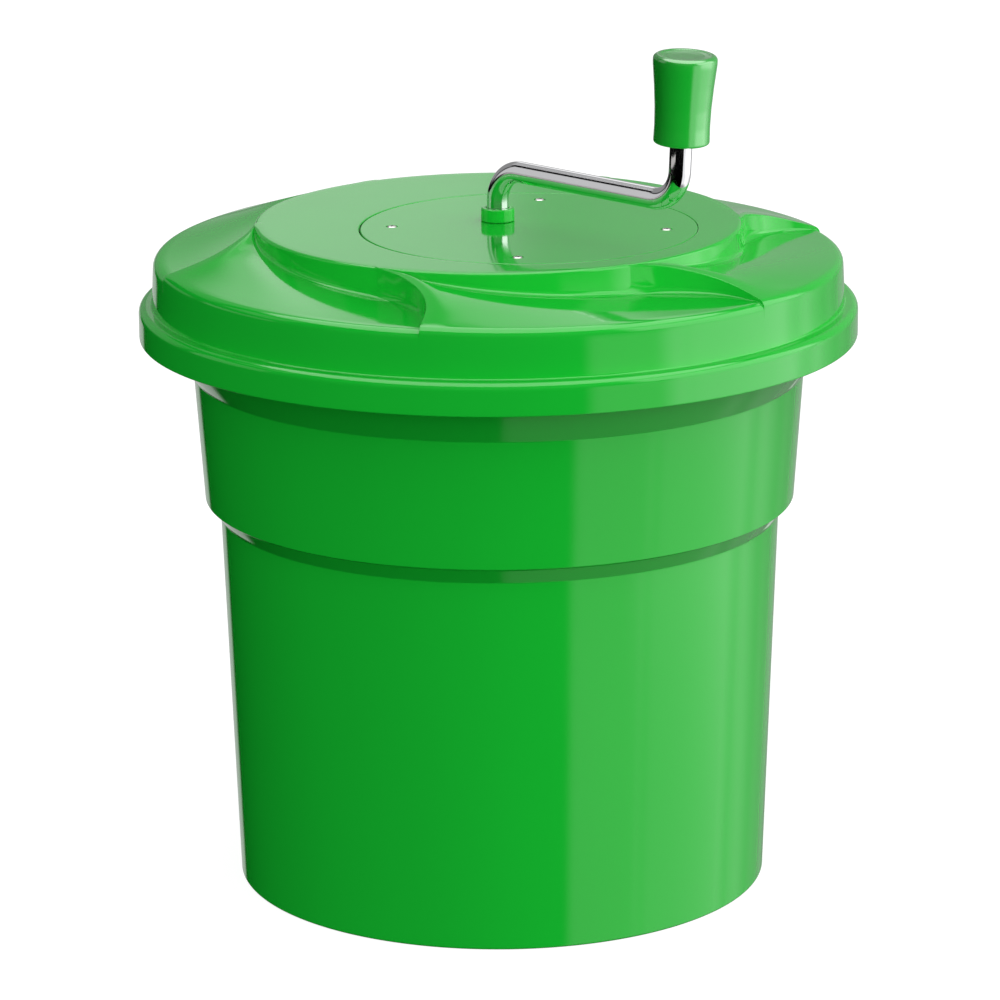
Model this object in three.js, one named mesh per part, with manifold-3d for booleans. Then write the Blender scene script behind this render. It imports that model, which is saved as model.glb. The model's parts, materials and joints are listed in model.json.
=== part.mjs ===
// Large hand-cranked salad spinner: a stepped tub, a slotted basket on a centre pivot, and a lid
// that holds a two-stage spur gear train, a bent-rod crank and a turning grip.
// Millimetres, +Z up. The origin is on the axis, at the level of the tub's foot.
import * as THREE from 'three';
import { mergeVertices } from 'three/addons/utils/BufferGeometryUtils.js';
import Module from 'manifold-3d';

const wasm = await Module();
wasm.setup();

// ---- driving dimensions -------------------------------------------------------------------
const GAP = 0.3; // running or mounting clearance between touching pieces
const WALL = 3; // moulded wall of tub and lid

const FOOT_R = 160.2; // tub: outer radius at the floor
const LOWER_DRAFT = 0.0366; // tub: outward slope of the wall below the step
const STEP_Z = 226.3; // tub: where the wall turns outward into the step
const LIP_R = 177.6; // tub: lower edge of the upper wall
const LIP_Z = 236.3;
const UPPER_DRAFT = 0.07;
const FLARE_Z = 313.4; // tub: where the wall flares out to the rim
const RIM_R = 208.5;
const RIM_Z = 352.3; // tub: top face of the rim, which carries the lid
const RIM_UNDER_Z = 341.5;
const RIM_INNER_R = 203;
const FLOOR_Z = 15; // tub: underside of its floor
const FLOOR_TOP_Z = 18.5;

const BASKET_FLOOR_Z = 30;
const BASKET_R = 146; // basket: outer radius at its floor
const BASKET_DRAFT = 0.0444;
const BASKET_WALL = 2.5;
const BASKET_RIM_R = 166;
const BASKET_RIM_Z = 345;
const BASKET_COLUMNS = 18;
const NOTCHES = 6; // basket: drive notches in its rim, one for each lug of the drive plate
const NOTCH_AZIMUTH = 7.5;

const LID_R = 215; // lid: skirt
const SKIRT_Z = 336;
const LEDGE_Z = 355.7;
const PLATFORM_R = 145; // lid: raised centre
const PLATFORM_Z = 403;
const SWIRL_R = 200; // lid: outer end of the swirl
const SWIRL_Z = 384;
const SECTORS = 6;
const SWIRL_START = -102.5; // azimuth of one crest at SWIRL_R, degrees
const SWIRL_SWEEP = 12.5; // how far a crest trails back at PLATFORM_R, degrees
const POCKET_DEPTH = 18;
const POCKET_POWER = 0.45;

const COVER = new THREE.Vector2(18.4, -21.1); // gear cover: centre
const COVER_R = 100;
const COVER_T = 3;
const WELL_R = 96;
const WELL_FLOOR_Z = 377.5;
const SCREW_CIRCLE_R = 81.5;
const SCREW_AZIMUTHS = [-5, 85, 176, 265];

const MODULE = 2.5; // gears
const PRESSURE_ANGLE = THREE.MathUtils.degToRad(25);
const BACKLASH = 0.45;
const CRANK_TEETH = 40;
const IDLER_SMALL_TEETH = 14;
const IDLER_LARGE_TEETH = 36;
const OUTPUT_TEETH = 18;
const GEAR_T = 9;
const LOWER_GEARS_Z = 379;
const UPPER_GEARS_Z = 389.5;
const IDLER_AZIMUTH = -49; // direction from the crank axis to the idler axis, degrees
const IDLER_DISTANCE = (CRANK_TEETH + IDLER_SMALL_TEETH) * MODULE / 2;
const IDLER_PIN_R = 5;
const IDLER_PIN_Z = 365; // bottom of the hole that takes the idler's pin
const OUTPUT_R = 9; // output shaft
const OUTPUT_END_R = 6.5; // its lower end, which has two flats
const OUTPUT_FLAT = 5; // from the axis to each flat
const BUSH_R = 12; // output bush: barrel
const BOSS_Z = 362; // lower face of the two bearing bosses under the lid

const ROD_R = 6.5; // crank: bent rod
const ROD_FLAT = 4.9; // from the rod's axis to each flat of its lower end
const TAP_R = 2.3; // tapped holes for the screws on the axes, and the screws themselves
const SCREW_R = 2;
const ARM_AZIMUTH = -45.2;
const ARM_LENGTH = 147.3; // crank axis to grip axis
const ARM_Z = 434.8;
const BEND_R = 20;
const GRIP_LEAN = 3.5; // the grip's leg leans this far outward from upright
const ROD_FOOT_Z = 393.3;
const ROD_TOP_Z = 503.3;
const KNOB_Z = 470.2; // grip: lower end
const KNOB_TOP_Z = 522;
const KNOB_SEAT_Z = 503.2;
const KNOB_BORE_R = 11;

const PLATE_Z = 345.5; // drive plate
const PLATE_T = 3;
const PLATE_R = 164;
const LUG_LENGTH = 14;

const LARGE_SEGMENTS = 48; // facets of the big turned pieces; small pieces have fewer
const MEDIUM_SEGMENTS = 24;
const SMALL_SEGMENTS = 16;

// ---- materials ----------------------------------------------------------------------------
const plastic = (color, roughness) => new THREE.MeshStandardMaterial({ color, roughness, metalness: 0 });
const metal = (color, roughness) => new THREE.MeshStandardMaterial({ color, roughness, metalness: 1 });
const GREEN = plastic(0x149a28, 0.16);
const KNOB_GREEN = plastic(0x149a28, 0.28);
const WHITE_ACETAL = plastic(0xe9eae4, 0.42);
const GREY_NYLON = plastic(0x8b9092, 0.5);
const BASKET_WHITE = plastic(0xf2f4f0, 0.34);
const RUBBER = plastic(0x1b1c1d, 0.75);
const CHROME = metal(0xd9dcde, 0.07);
const STEEL = metal(0xb9bcbf, 0.3);

// ---- helpers ------------------------------------------------------------------------------
const part = new THREE.Group();
const radians = THREE.MathUtils.degToRad;
const polar = (r, degrees) =>
  new THREE.Vector2(r * Math.cos(radians(degrees)), r * Math.sin(radians(degrees)));
const around = (count, fn) => Array.from({ length: count }, (_, i) => fn(360 * i / count));

// A closed three.js geometry as a solid, with its faces turned outward.
function solid(geometry) {
  geometry.deleteAttribute('normal');
  geometry.deleteAttribute('uv');
  const merged = mergeVertices(geometry, 1e-4);
  const position = merged.getAttribute('position');
  const corners = [0, 1, 2].map(() => new THREE.Vector3());
  const triangles = [];
  let volume = 0;
  for (let i = 0; i < merged.index.count; i += 3) {
    const ids = [0, 1, 2].map((k) => merged.index.getX(i + k));
    if (new Set(ids).size < 3) continue;
    ids.forEach((id, k) => corners[k].fromBufferAttribute(position, id));
    volume += corners[0].dot(corners[1].clone().cross(corners[2]));
    triangles.push(ids);
  }
  const outward = ([a, b, c]) => (volume < 0 ? [a, c, b] : [a, b, c]);
  const triVerts = Uint32Array.from(triangles.flatMap(outward));
  const vertProperties = Float32Array.from(position.array);
  return new wasm.Manifold(new wasm.Mesh({ numProp: 3, vertProperties, triVerts }));
}

function addPart(name, body, material) {
  const { vertProperties, triVerts } = body.getMesh();
  const geometry = new THREE.BufferGeometry();
  geometry.setAttribute('position', new THREE.BufferAttribute(Float32Array.from(vertProperties), 3));
  geometry.setIndex(Array.from(triVerts));
  geometry.computeVertexNormals();
  const mesh = new THREE.Mesh(geometry, material);
  mesh.name = name;
  part.add(mesh);
}

// A [radius, height] outline turned about the vertical line through (x, y).
function turned(outline, segments, x = 0, y = 0) {
  const points = outline.map(([r, z]) => new THREE.Vector2(r, z));
  const onAxis = outline[0][0] === 0 && outline.at(-1)[0] === 0;
  if (!onAxis) points.push(points[0].clone());
  const geometry = new THREE.LatheGeometry(points, segments).rotateX(Math.PI / 2);
  return solid(geometry.translate(x, y, 0));
}

const rod = (r, z0, z1, x = 0, y = 0, segments = MEDIUM_SEGMENTS) =>
  turned([[0, z0], [r, z0], [r, z1], [0, z1]], segments, x, y);

const ring = (inner, outer, z0, z1, x = 0, y = 0, segments = MEDIUM_SEGMENTS) =>
  turned([[inner, z0], [outer, z0], [outer, z1], [inner, z1]], segments, x, y);

// A block whose long side runs radially, from r0 to r1 at the given azimuth.
function radialBlock(r0, r1, width, z0, z1, degrees) {
  const geometry = new THREE.BoxGeometry(r1 - r0, width, z1 - z0);
  geometry.translate((r0 + r1) / 2, 0, (z0 + z1) / 2);
  return solid(geometry.rotateZ(radians(degrees)));
}

const joined = (solids) => solids.reduce((sum, s) => sum.add(s));

// A screw: pan head above a plain shank; head and shank lengths run down from the top of the head.
function screw(headR, headT, shankR, length, topZ, x = 0, y = 0) {
  const neckZ = topZ - headT;
  const outline = [[0, topZ - length], [shankR, topZ - length], [shankR, neckZ], [headR, neckZ],
    [headR, topZ - 0.35 * headT], [0.72 * headR, topZ], [0, topZ]];
  return turned(outline, SMALL_SEGMENTS, x, y);
}

// The same screw driven upward from below.
function screwFromBelow(headR, headT, shankR, length, bottomZ) {
  const neckZ = bottomZ + headT;
  const outline = [[0, bottomZ], [0.72 * headR, bottomZ], [headR, bottomZ + 0.35 * headT], [headR, neckZ],
    [shankR, neckZ], [shankR, bottomZ + length], [0, bottomZ + length]];
  return turned(outline, SMALL_SEGMENTS);
}

// A round bar with two parallel flats, for a shaft end or the hole that takes it.
function doubleD(r, flat, z0, z1, degrees = 0) {
  const bar = rod(r, z0, z1);
  const slab = new THREE.BoxGeometry(3 * r, 2 * flat, z1 - z0 + 2);
  slab.translate(0, 0, (z0 + z1) / 2);
  return bar.intersect(solid(slab.rotateZ(radians(degrees))));
}

// ---- spur gears ---------------------------------------------------------------------------
const pitchRadius = (teeth) => teeth * MODULE / 2;
const involute = (angle) => Math.tan(angle) - angle;

// Half the angle of a tooth at radius r; below the base circle the flank is radial.
function halfTooth(teeth, r) {
  const pitchR = pitchRadius(teeth);
  const baseR = pitchR * Math.cos(PRESSURE_ANGLE);
  const atPitch = (Math.PI * MODULE / 2 - BACKLASH / 2) / (2 * pitchR);
  const angle = r > baseR ? Math.acos(baseR / r) : 0;
  return atPitch + involute(PRESSURE_ANGLE) - involute(angle);
}

// An external spur gear with the middle of one tooth at the given azimuth.
function gear(teeth, z0, height, degrees, x = 0, y = 0) {
  const pitchR = pitchRadius(teeth);
  const rootR = pitchR - 1.25 * MODULE;
  const tipR = pitchR + 0.9 * MODULE;
  const flank = [rootR, pitchR, tipR].map((r) => [r, halfTooth(teeth, r)]);
  const tooth = [...flank.map(([r, a]) => [r, -a]), ...flank.reverse()];
  const points = around(teeth, (turn) => tooth.map(([r, a]) => {
    const angle = radians(turn + degrees) + a;
    return new THREE.Vector2(r * Math.cos(angle), r * Math.sin(angle));
  })).flat();
  const shape = new THREE.Shape(points);
  const geometry = new THREE.ExtrudeGeometry(shape, { depth: height, bevelEnabled: false });
  return solid(geometry.translate(x, y, z0));
}

// ---- tub, with the basket's pivot ---------------------------------------------------------
const lowerWall = (z) => FOOT_R + LOWER_DRAFT * z;
const upperWall = (z) => LIP_R + UPPER_DRAFT * (z - LIP_Z);

function tub() {
  const outline = [
    [4.3, FLOOR_Z], [FOOT_R - 5.5, FLOOR_Z], [FOOT_R - 5.5, 0], [FOOT_R - 0.8, 0], [lowerWall(1), 1],
    [lowerWall(STEP_Z), STEP_Z], [LIP_R - 0.9, LIP_Z - 0.6], [LIP_R, LIP_Z],
    [upperWall(FLARE_Z), FLARE_Z], [RIM_R - 4, RIM_UNDER_Z], [RIM_R - 1, RIM_UNDER_Z],
    [RIM_R, RIM_UNDER_Z + 1], [RIM_R, RIM_Z - 1], [RIM_R - 1, RIM_Z], [RIM_INNER_R, RIM_Z],
    [RIM_INNER_R, RIM_UNDER_Z + 2.5], [upperWall(FLARE_Z) - WALL, FLARE_Z + 1],
    [upperWall(LIP_Z + 2) - WALL, LIP_Z + 2], [lowerWall(STEP_Z) - WALL, STEP_Z + 1],
    [lowerWall(FLOOR_TOP_Z + 3) - WALL, FLOOR_TOP_Z + 3], [lowerWall(FLOOR_TOP_Z) - WALL - 3, FLOOR_TOP_Z],
    [18, FLOOR_TOP_Z], [18, 20], [4.3, 20],
  ];
  addPart('tub', turned(outline, LARGE_SEGMENTS), GREEN);
}

const PIVOT_TOP_Z = 58;

function pivot() {
  const pin = turned([
    [0, 5], [3.4, 5], [4, 5.6], [4, 21.8], [13, 21.8], [13, 24], [6, 24], [6, PIVOT_TOP_Z - 3],
    [4.4, PIVOT_TOP_Z - 0.8], [0, PIVOT_TOP_Z],
  ], SMALL_SEGMENTS);
  addPart('pivot_pin', pin, STEEL);
  addPart('pivot_seal', ring(4.4, 12, 20.3, 21.5), RUBBER);
  addPart('pivot_washer', ring(4.4, 9, 13.2, 14.7, 0, 0, SMALL_SEGMENTS), STEEL);
  const nut = new THREE.CylinderGeometry(7.5, 7.5, 6.3, 6).rotateX(Math.PI / 2).translate(0, 0, 9.75);
  addPart('pivot_nut', solid(nut).subtract(rod(4.3, 6, 14, 0, 0, SMALL_SEGMENTS)), STEEL);
  const bush = turned([
    [0, 59.5], [6.3, 59.5], [6.3, 24.3], [15.5, 24.3], [15.5, 26.5], [10, 26.5], [10, 61], [9, 62], [0, 62],
  ], MEDIUM_SEGMENTS);
  addPart('pivot_bush', bush, WHITE_ACETAL);
}

// ---- basket -------------------------------------------------------------------------------
const basketWall = (z) => BASKET_R + BASKET_DRAFT * (z - BASKET_FLOOR_Z);

function basket() {
  const floorTop = BASKET_FLOOR_Z + 3;
  const outline = [
    [0, 64], [10.3, 64], [10.3, 26.8], [14, 26.8], [14, BASKET_FLOOR_Z], [BASKET_R - 2, BASKET_FLOOR_Z],
    [basketWall(32), 32], [basketWall(340), 340], [BASKET_RIM_R, 340], [BASKET_RIM_R, BASKET_RIM_Z],
    [basketWall(BASKET_RIM_Z) - BASKET_WALL, BASKET_RIM_Z], [basketWall(floorTop) - BASKET_WALL, floorTop],
    [22, floorTop], [16, 70.5], [14.5, 72], [0, 72],
  ];
  const wallSlots = around(BASKET_COLUMNS, (turn) =>
    [[50, 180], [194, 324]].map(([z0, z1]) => radialBlock(138, 168, 7, z0, z1, turn + 10))).flat();
  const floorSlots = around(BASKET_COLUMNS, (turn) => radialBlock(56, 128, 6, 28, 35, turn));
  const notches = around(NOTCHES, (turn) => radialBlock(149, 168, 16, 336, 347, turn + NOTCH_AZIMUTH));
  const cuts = joined([...wallSlots, ...floorSlots, ...notches]);
  addPart('basket', turned(outline, LARGE_SEGMENTS).subtract(cuts), BASKET_WHITE);
}

// ---- lid ----------------------------------------------------------------------------------
// Across each sector, t runs counter-clockwise from 0 on the crest to 1 at the next riser.
const COLUMN_STOPS = [0, 0.05, 0.15, 0.3, 0.47, 0.65, 0.83, 0.994];
const pocketDepth = (t) => POCKET_DEPTH * Math.min(t, 1) ** POCKET_POWER;
const swirlShare = (r) => THREE.MathUtils.clamp((r - PLATFORM_R) / (SWIRL_R - PLATFORM_R), 0, 1);
const swirlHeight = (r, t) =>
  THREE.MathUtils.lerp(PLATFORM_Z - pocketDepth(t), SWIRL_Z, swirlShare(r));
const crestTurn = (r) => SWIRL_START - SWIRL_SWEEP * (1 - swirlShare(r)) ** 3;
const RISER_LAG = 0.022; // the underside's risers trail the top's by one wall, as a share of a sector

// Rows of the lid's section: radius, height at t, and whether the row is under the skin.
function lidRows() {
  const level = (r, z, under = false) => ({ r, height: () => z, under });
  const top = (r, lift = 0) =>
    ({ r, height: (t) => swirlHeight(r, t) + lift * pocketDepth(t), under: false });
  const under = (r) => ({ r, height: (t) => swirlHeight(r, t) - WALL, under: true });
  const shoulder = (r, share) =>
    ({ r, height: (t) => PLATFORM_Z - share * pocketDepth(t), under: false });
  return [
    level(0, PLATFORM_Z), level(PLATFORM_R - 3.5, PLATFORM_Z), shoulder(PLATFORM_R - 1, 0.06),
    shoulder(PLATFORM_R, 0.2), top(PLATFORM_R + 0.6, 0.2), top(PLATFORM_R + 2.2, 0.06), top(PLATFORM_R + 5.5),
    top(165), top(183), top(197), level(SWIRL_R + 1.6, SWIRL_Z - 0.1), level(203.3, 383), level(204, 381),
    level(206.1, 373), level(207, 357.4), level(208, LEDGE_Z), level(LID_R - 1.5, LEDGE_Z),
    level(LID_R, LEDGE_Z - 1.5), level(LID_R, SKIRT_Z), level(LID_R - WALL, SKIRT_Z),
    level(LID_R - WALL, LEDGE_Z - WALL), level(199.5, LEDGE_Z - WALL), level(199.5, 343), level(197, 343),
    level(197, LEDGE_Z - WALL), level(203.4, LEDGE_Z + 1), level(202.2, 372), level(199.5, 380.4),
    under(196), under(170), under(PLATFORM_R + 2),
    { r: PLATFORM_R - WALL, height: (t) => PLATFORM_Z - WALL - pocketDepth(t) - 0.5, under: true },
    level(PLATFORM_R - WALL - 1, PLATFORM_Z - WALL, true), level(0, PLATFORM_Z - WALL),
  ];
}

// The moulded skin: a turned outline whose columns are then moved onto the swirl.
function lidSkin() {
  const rows = lidRows();
  const columns = SECTORS * COLUMN_STOPS.length;
  const geometry = new THREE.LatheGeometry(rows.map(({ r }) => new THREE.Vector2(r, 0)), columns);
  const position = geometry.getAttribute('position');
  for (let column = 0; column <= columns; column += 1) {
    const sector = Math.floor(column / COLUMN_STOPS.length);
    const stop = COLUMN_STOPS[column % COLUMN_STOPS.length];
    rows.forEach(({ r, height, under }, row) => {
      const t = stop + (under ? RISER_LAG : 0);
      const { x, y } = polar(r, crestTurn(r) + (sector + t) * 360 / SECTORS);
      position.setXYZ(column * rows.length + row, x, y, height(t));
    });
  }
  return solid(geometry);
}

const idlerAxis = polar(IDLER_DISTANCE, IDLER_AZIMUTH);
const screwPlaces = SCREW_AZIMUTHS.map((azimuth) => polar(SCREW_CIRCLE_R, azimuth).add(COVER));
const COVER_SEAT_Z = PLATFORM_Z - COVER_T - 1.3;
const SCREW_HEAD_SEAT_Z = PLATFORM_Z - 2;

function lid() {
  const aboutCover = (r, z0, z1) => rod(r, z0, z1, COVER.x, COVER.y, LARGE_SEGMENTS);
  const wellWall = aboutCover(WELL_R + 8, WELL_FLOOR_Z - WALL, PLATFORM_Z - 0.5);
  const cavity = aboutCover(WELL_R, WELL_FLOOR_Z, PLATFORM_Z + 1);
  const coverRecess = aboutCover(COVER_R + 1, COVER_SEAT_Z, PLATFORM_Z + 1);
  const posts = screwPlaces.map(({ x, y }) =>
    rod(5.5, WELL_FLOOR_Z - 1, PLATFORM_Z - COVER_T - GAP, x, y, SMALL_SEGMENTS));
  const outputBoss = rod(17, BOSS_Z, WELL_FLOOR_Z - 1);
  const idlerBoss = rod(11, BOSS_Z, WELL_FLOOR_Z - 1, idlerAxis.x, idlerAxis.y);
  const bores = [
    rod(BUSH_R + GAP, BOSS_Z - 2, WELL_FLOOR_Z + 1),
    rod(IDLER_PIN_R + GAP, IDLER_PIN_Z, WELL_FLOOR_Z + 1, idlerAxis.x, idlerAxis.y),
    ...screwPlaces.map(({ x, y }) => rod(1.9, 386, PLATFORM_Z, x, y, 12)),
  ];
  const body = lidSkin().add(wellWall).subtract(cavity).subtract(coverRecess);
  addPart('lid', joined([body, ...posts, outputBoss, idlerBoss]).subtract(joined(bores)), GREEN);
}

function gearCover() {
  const disc = turned([
    [0, PLATFORM_Z - COVER_T], [COVER_R, PLATFORM_Z - COVER_T], [COVER_R, PLATFORM_Z - 0.6],
    [COVER_R - 0.6, PLATFORM_Z], [0, PLATFORM_Z],
  ], LARGE_SEGMENTS, COVER.x, COVER.y);
  const holes = [
    rod(8.3, PLATFORM_Z - 5, PLATFORM_Z + 1),
    ...screwPlaces.map(({ x, y }) => rod(2, PLATFORM_Z - 5, PLATFORM_Z, x, y, 12)),
    ...screwPlaces.map(({ x, y }) => rod(3.6, SCREW_HEAD_SEAT_Z, PLATFORM_Z + 1, x, y, SMALL_SEGMENTS)),
  ];
  addPart('gear_cover', disc.subtract(joined(holes)), GREEN);
  const gasketTop = PLATFORM_Z - COVER_T - GAP;
  const gasketFoot = COVER_SEAT_Z + GAP;
  const gasket = ring(WELL_R + 0.8, COVER_R, gasketFoot, gasketTop, COVER.x, COVER.y, LARGE_SEGMENTS);
  addPart('cover_gasket', gasket, RUBBER);
  screwPlaces.forEach(({ x, y }, i) => {
    const headTop = SCREW_HEAD_SEAT_Z + GAP + 2.1;
    addPart(`cover_screw_${i + 1}`, screw(3.25, 2.1, 1.6, 14, headTop, x, y), STEEL);
  });
}

// ---- gear train ---------------------------------------------------------------------------
const OPPOSITE = IDLER_AZIMUTH + 180;

function gears() {
  const halfPitch = (teeth) => 180 / teeth;
  const crankGear = gear(CRANK_TEETH, UPPER_GEARS_Z, GEAR_T, IDLER_AZIMUTH)
    .subtract(doubleD(ROD_R + GAP, ROD_FLAT + GAP, ROD_FOOT_Z - GAP, PLATFORM_Z))
    .subtract(rod(SCREW_R + 0.4, UPPER_GEARS_Z - 1, ROD_FOOT_Z, 0, 0, SMALL_SEGMENTS))
    .subtract(rod(5.2, UPPER_GEARS_Z - 1, UPPER_GEARS_Z + 2.3, 0, 0, SMALL_SEGMENTS));
  addPart('crank_gear', crankGear, WHITE_ACETAL);
  addPart('crank_screw', screwFromBelow(4.6, 2, SCREW_R, 10.5, UPPER_GEARS_Z), STEEL);
  const washer = ring(ROD_R + GAP, 12, UPPER_GEARS_Z + GEAR_T + GAP, PLATFORM_Z - COVER_T - GAP);
  addPart('crank_washer', washer, STEEL);

  const { x, y } = idlerAxis;
  const idler = joined([
    gear(IDLER_LARGE_TEETH, LOWER_GEARS_Z, GEAR_T, OPPOSITE, x, y),
    rod(13, LOWER_GEARS_Z + GEAR_T / 2, UPPER_GEARS_Z + 1, x, y),
    gear(IDLER_SMALL_TEETH, UPPER_GEARS_Z, GEAR_T, OPPOSITE + halfPitch(IDLER_SMALL_TEETH), x, y),
  ]).subtract(rod(IDLER_PIN_R + GAP, LOWER_GEARS_Z - 1, PLATFORM_Z, x, y));
  addPart('idler_gear', idler, GREY_NYLON);
  const idlerWasher = ring(IDLER_PIN_R + GAP, 10, WELL_FLOOR_Z + GAP, LOWER_GEARS_Z - GAP, x, y);
  addPart('idler_washer', idlerWasher, STEEL);
  const idlerPin = rod(IDLER_PIN_R, IDLER_PIN_Z + GAP, PLATFORM_Z - COVER_T - 2 * GAP, x, y);
  addPart('countershaft_pin', idlerPin, STEEL);

  const bush = turned([
    [OUTPUT_R + GAP, BOSS_Z + GAP], [BUSH_R, BOSS_Z + GAP], [BUSH_R, WELL_FLOOR_Z + GAP],
    [15, WELL_FLOOR_Z + GAP], [15, LOWER_GEARS_Z - GAP], [OUTPUT_R + GAP, LOWER_GEARS_Z - GAP],
  ], MEDIUM_SEGMENTS);
  addPart('output_bush', bush, WHITE_ACETAL);
  const pinion = joined([
    gear(OUTPUT_TEETH, LOWER_GEARS_Z, GEAR_T, IDLER_AZIMUTH + halfPitch(OUTPUT_TEETH)),
    rod(OUTPUT_R, 358, LOWER_GEARS_Z + 1), doubleD(OUTPUT_END_R, OUTPUT_FLAT, 346, 359),
  ]).subtract(rod(TAP_R, 345, 361, 0, 0, SMALL_SEGMENTS));
  addPart('output_pinion', pinion, STEEL);
}

// ---- drive plate, which turns the basket by its rim ---------------------------------------
function drivePlate() {
  const ribs = around(NOTCHES, (turn) =>
    radialBlock(12, 140, 2.5, PLATE_Z - 10, PLATE_Z + 1, turn + NOTCH_AZIMUTH));
  const lugs = around(NOTCHES, (turn) =>
    radialBlock(PLATE_R - LUG_LENGTH, PLATE_R - 0.5, 14, PLATE_Z - 8.5, PLATE_Z + 1, turn + NOTCH_AZIMUTH));
  const windows = around(NOTCHES, (turn) => {
    const { x, y } = polar(98, turn + 37.5);
    return rod(24, PLATE_Z - 12, PLATE_Z + 6, x, y);
  });
  const disc = rod(PLATE_R, PLATE_Z, PLATE_Z + PLATE_T, 0, 0, LARGE_SEGMENTS);
  const plate = joined([disc, rod(20, PLATE_Z, 357.7), ...ribs, ...lugs]);
  const hubClearance = rod(11, PLATE_Z - 12, PLATE_Z);
  const bore = doubleD(OUTPUT_END_R + GAP, OUTPUT_FLAT + GAP, PLATE_Z - 1, 359);
  addPart('drive_plate', plate.subtract(joined([hubClearance, bore, ...windows])), BASKET_WHITE);
  const washer = ring(SCREW_R + 0.4, 9, 344, PLATE_Z - GAP, 0, 0, SMALL_SEGMENTS);
  addPart('drive_washer', washer, STEEL);
  addPart('drive_screw', screwFromBelow(4.5, 3.2, SCREW_R, 19, 340.5), STEEL);
}

// ---- crank and grip -----------------------------------------------------------------------
const UP = new THREE.Vector3(0, 0, 1);
const armWay = new THREE.Vector3(Math.cos(radians(ARM_AZIMUTH)), Math.sin(radians(ARM_AZIMUTH)), 0);
const along = (reach, z) => armWay.clone().multiplyScalar(reach).setZ(z);
const armEnd = along(ARM_LENGTH, ARM_Z);
const LEAN_AXIS = UP.clone().cross(armWay);

// Carries a solid built upright about the vertical axis onto the leaning axis of the grip.
function leaned(body) {
  const matrix = new THREE.Matrix4().makeRotationAxis(LEAN_AXIS, radians(GRIP_LEAN));
  matrix.setPosition(armEnd).multiply(new THREE.Matrix4().makeTranslation(0, 0, -ARM_Z));
  return body.transform(matrix.elements);
}

// Round bend of the rod that starts at centre + from and turns towards centre + to.
class Bend extends THREE.Curve {
  constructor(centre, from, to, degrees) {
    super();
    Object.assign(this, { centre, from, to, sweep: radians(degrees) });
  }

  getPoint(share, target = new THREE.Vector3()) {
    const angle = share * this.sweep;
    return target.copy(this.centre).addScaledVector(this.from, BEND_R * Math.cos(angle))
      .addScaledVector(this.to, BEND_R * Math.sin(angle));
  }
}

function crank() {
  const gripTurn = 90 - GRIP_LEAN;
  const bendStart = ARM_LENGTH - BEND_R * Math.tan(radians(gripTurn) / 2);
  const gripWay = UP.clone().applyAxisAngle(LEAN_AXIS, radians(GRIP_LEAN));
  const gripBend = new Bend(along(bendStart, ARM_Z + BEND_R), UP.clone().negate(), armWay, gripTurn);
  const path = new THREE.CurvePath();
  path.add(new THREE.LineCurve3(along(0, ROD_FOOT_Z), along(0, ARM_Z - BEND_R)));
  path.add(new Bend(along(BEND_R, ARM_Z - BEND_R), armWay.clone().negate(), UP, 90));
  path.add(new THREE.LineCurve3(along(BEND_R, ARM_Z), along(bendStart, ARM_Z)));
  path.add(gripBend);
  const rodTop = armEnd.clone().addScaledVector(gripWay, ROD_TOP_Z - ARM_Z);
  path.add(new THREE.LineCurve3(gripBend.getPoint(1), rodTop));
  const section = new THREE.Shape().absarc(0, 0, ROD_R, 0, 2 * Math.PI);
  const bent = new THREE.ExtrudeGeometry(section, { steps: 42, curveSegments: 7, extrudePath: path });
  const flats = rod(12, 380, 401).subtract(doubleD(ROD_R + 0.5, ROD_FLAT, 379, 402));
  const taps = rod(TAP_R, 390, 402, 0, 0, 12).add(leaned(rod(TAP_R, 488, 510, 0, 0, 12)));
  addPart('crank_rod', solid(bent).subtract(flats).subtract(taps), CHROME);
  const collar = turned([
    [ROD_R + GAP, 400], [8, 400], [8, PLATFORM_Z + GAP], [10, PLATFORM_Z + GAP], [10, 410.2], [9.2, 411],
    [ROD_R + GAP, 411],
  ], MEDIUM_SEGMENTS);
  addPart('crank_bush', collar, GREEN);
}

// The grip and its hardware are built upright, then leaned onto the end of the rod.
function grip() {
  const bore = ROD_R + GAP + 0.1;
  const capTop = KNOB_TOP_Z - 0.9;
  const outline = [
    [bore, KNOB_Z], [15.3, KNOB_Z], [16.2, KNOB_Z + 1.2], [16.1, KNOB_Z + 17], [16.7, KNOB_Z + 27],
    [17.3, KNOB_Z + 35], [18.1, KNOB_Z + 43], [18.45, KNOB_Z + 48], [17.7, KNOB_Z + 50.6],
    [15.5, KNOB_TOP_Z], [13, KNOB_TOP_Z - 0.5], [KNOB_BORE_R, capTop], [KNOB_BORE_R, KNOB_SEAT_Z],
    [bore, KNOB_SEAT_Z],
  ];
  const cap = turned([[0, capTop - 5], [10.2, capTop - 5], [KNOB_BORE_R - GAP, capTop - 4.4],
    [KNOB_BORE_R - GAP, capTop - 0.3], [KNOB_BORE_R - 0.7, capTop], [0, capTop - 0.5]], MEDIUM_SEGMENTS);
  const washer = ring(SCREW_R + 0.4, 10.4, ROD_TOP_Z + GAP, ROD_TOP_Z + 1.5, 0, 0, SMALL_SEGMENTS);
  addPart('knob', leaned(turned(outline, MEDIUM_SEGMENTS)), KNOB_GREEN);
  addPart('knob_washer', leaned(washer), STEEL);
  addPart('knob_screw', leaned(screw(4.6, 3.2, SCREW_R, 16, ROD_TOP_Z + 5)), STEEL);
  addPart('knob_cap', leaned(cap), KNOB_GREEN);
}

tub();
pivot();
basket();
lid();
gearCover();
gears();
drivePlate();
crank();
grip();

export default part;
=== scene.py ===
"""Salad spinner: fine surfaces, finishes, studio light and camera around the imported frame."""

import json
import math

import bmesh
import bpy
from mathutils import Matrix, Vector


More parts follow.
